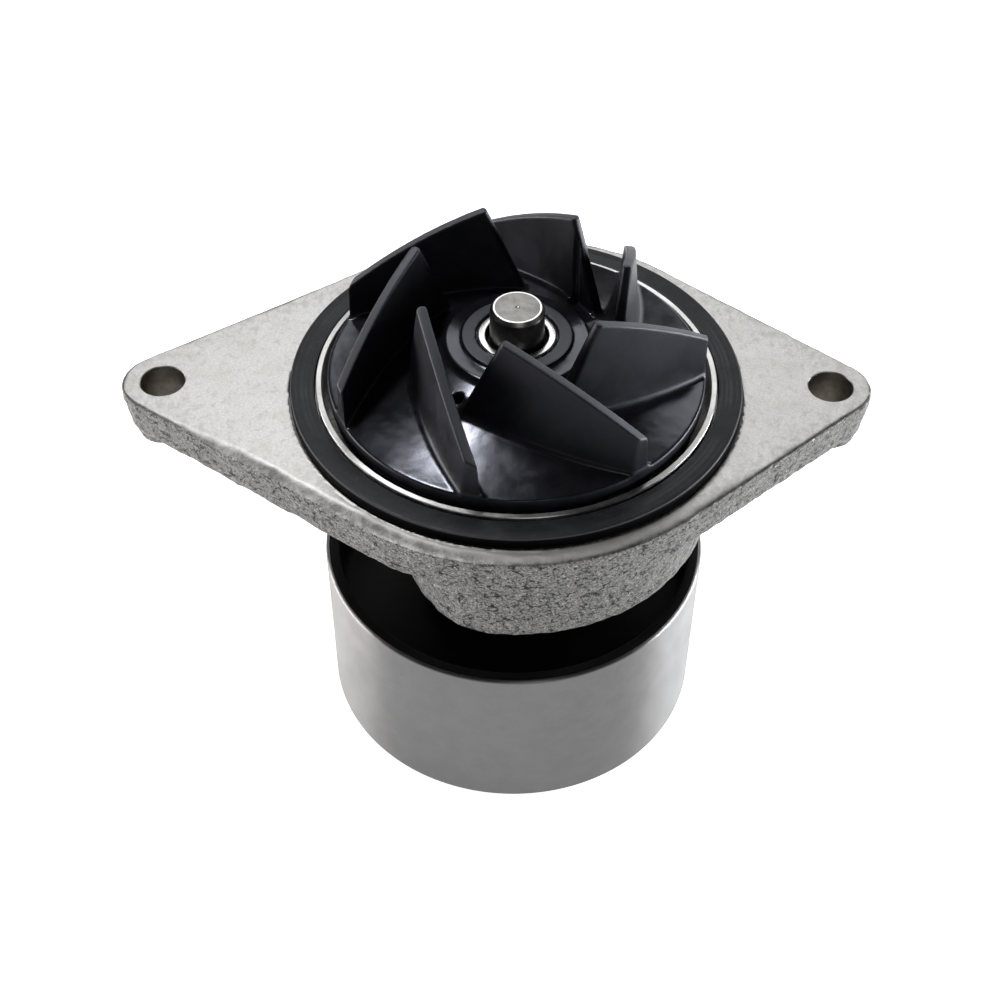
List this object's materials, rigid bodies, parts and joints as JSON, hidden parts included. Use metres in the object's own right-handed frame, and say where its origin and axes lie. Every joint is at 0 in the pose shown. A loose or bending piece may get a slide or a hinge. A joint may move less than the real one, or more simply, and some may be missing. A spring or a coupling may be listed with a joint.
{
  "type": "water pump",
  "caption": "Engine coolant pump: cast flange housing with a bladed impeller on one side and a smooth belt pulley on the other, joined by a shaft bearing and a face seal.",
  "frame": {"origin": "on the pump axis, at the machined flange face that bolts to the engine", "axes": "+Z along the pump axis, from the pulley towards the impeller; +X along the line of the bolt holes, towards the hole that is nearer to the pump axis; +Y completes the right-handed frame"},
  "size_m": [0.169, 0.1106, 0.1259],
  "materials": {
    "cast_aluminium": "sand cast, with a milled face on the flange",
    "seal_rubber": "satin black rubber",
    "bearing_steel": "ground and polished",
    "bearing_seal_rubber": "moulded brown nitrile rubber",
    "seal_brass": "deep drawn, satin",
    "spring_steel": "drawn stainless wire and strip",
    "seal_carbon": "dark grey carbon graphite, lapped face",
    "shaft_steel": "centreless ground",
    "impeller_plastic": "moulded black engineering plastic with a soft gloss",
    "insert_metal": "bright turned bush",
    "seat_iron": "lapped hard seat ring",
    "cage_plastic": "natural glass-filled nylon",
    "pulley_steel": "turned outside, black-coated inside",
    "hub_paint": "black coating"
  },
  "bodies": {
    "housing_body": {"housing": "cast_aluminium", "flange_seal": "seal_rubber", "bearing_outer_ring": "bearing_steel", "bearing_seal_upper": "bearing_seal_rubber", "bearing_seal_lower": "bearing_seal_rubber", "seal_case": "seal_brass", "seal_bellows": "seal_rubber", "seal_spring": "spring_steel", "seal_drive_band": "spring_steel", "seal_carbon_ring": "seal_carbon"},
    "rotor": {"pump_shaft": "shaft_steel", "impeller": "impeller_plastic", "impeller_insert": "insert_metal", "seat_sleeve": "seal_brass", "seat_cup": "seal_rubber", "seat_ring": "seat_iron", "slinger": "seal_rubber", "pulley_shell": "pulley_steel", "pulley_hub": "hub_paint"},
    "ball_set": {"bearing_balls": "bearing_steel", "ball_cage": "cage_plastic"},
    "roller_set": {"bearing_rollers": "bearing_steel", "roller_cage": "cage_plastic"}
  },
  "joints": [
    {"name": "rotor_spin", "type": "hinge", "parent": "housing_body", "child": "rotor", "pos_m": [0, 0, 0], "axis": [0, 0, 1], "continuous": true},
    {"name": "ball_set_orbit", "type": "hinge", "parent": "housing_body", "child": "ball_set", "pos_m": [0, 0, -0.0494], "axis": [0, 0, 1], "continuous": true},
    {"name": "roller_set_orbit", "type": "hinge", "parent": "housing_body", "child": "roller_set", "pos_m": [0, 0, -0.0355], "axis": [0, 0, 1], "continuous": true}
  ],
  "couplings": [
    {"joint": "ball_set_orbit", "follows": "rotor_spin", "ratio": 0.34},
    {"joint": "roller_set_orbit", "follows": "rotor_spin", "ratio": 0.3694}
  ]
}
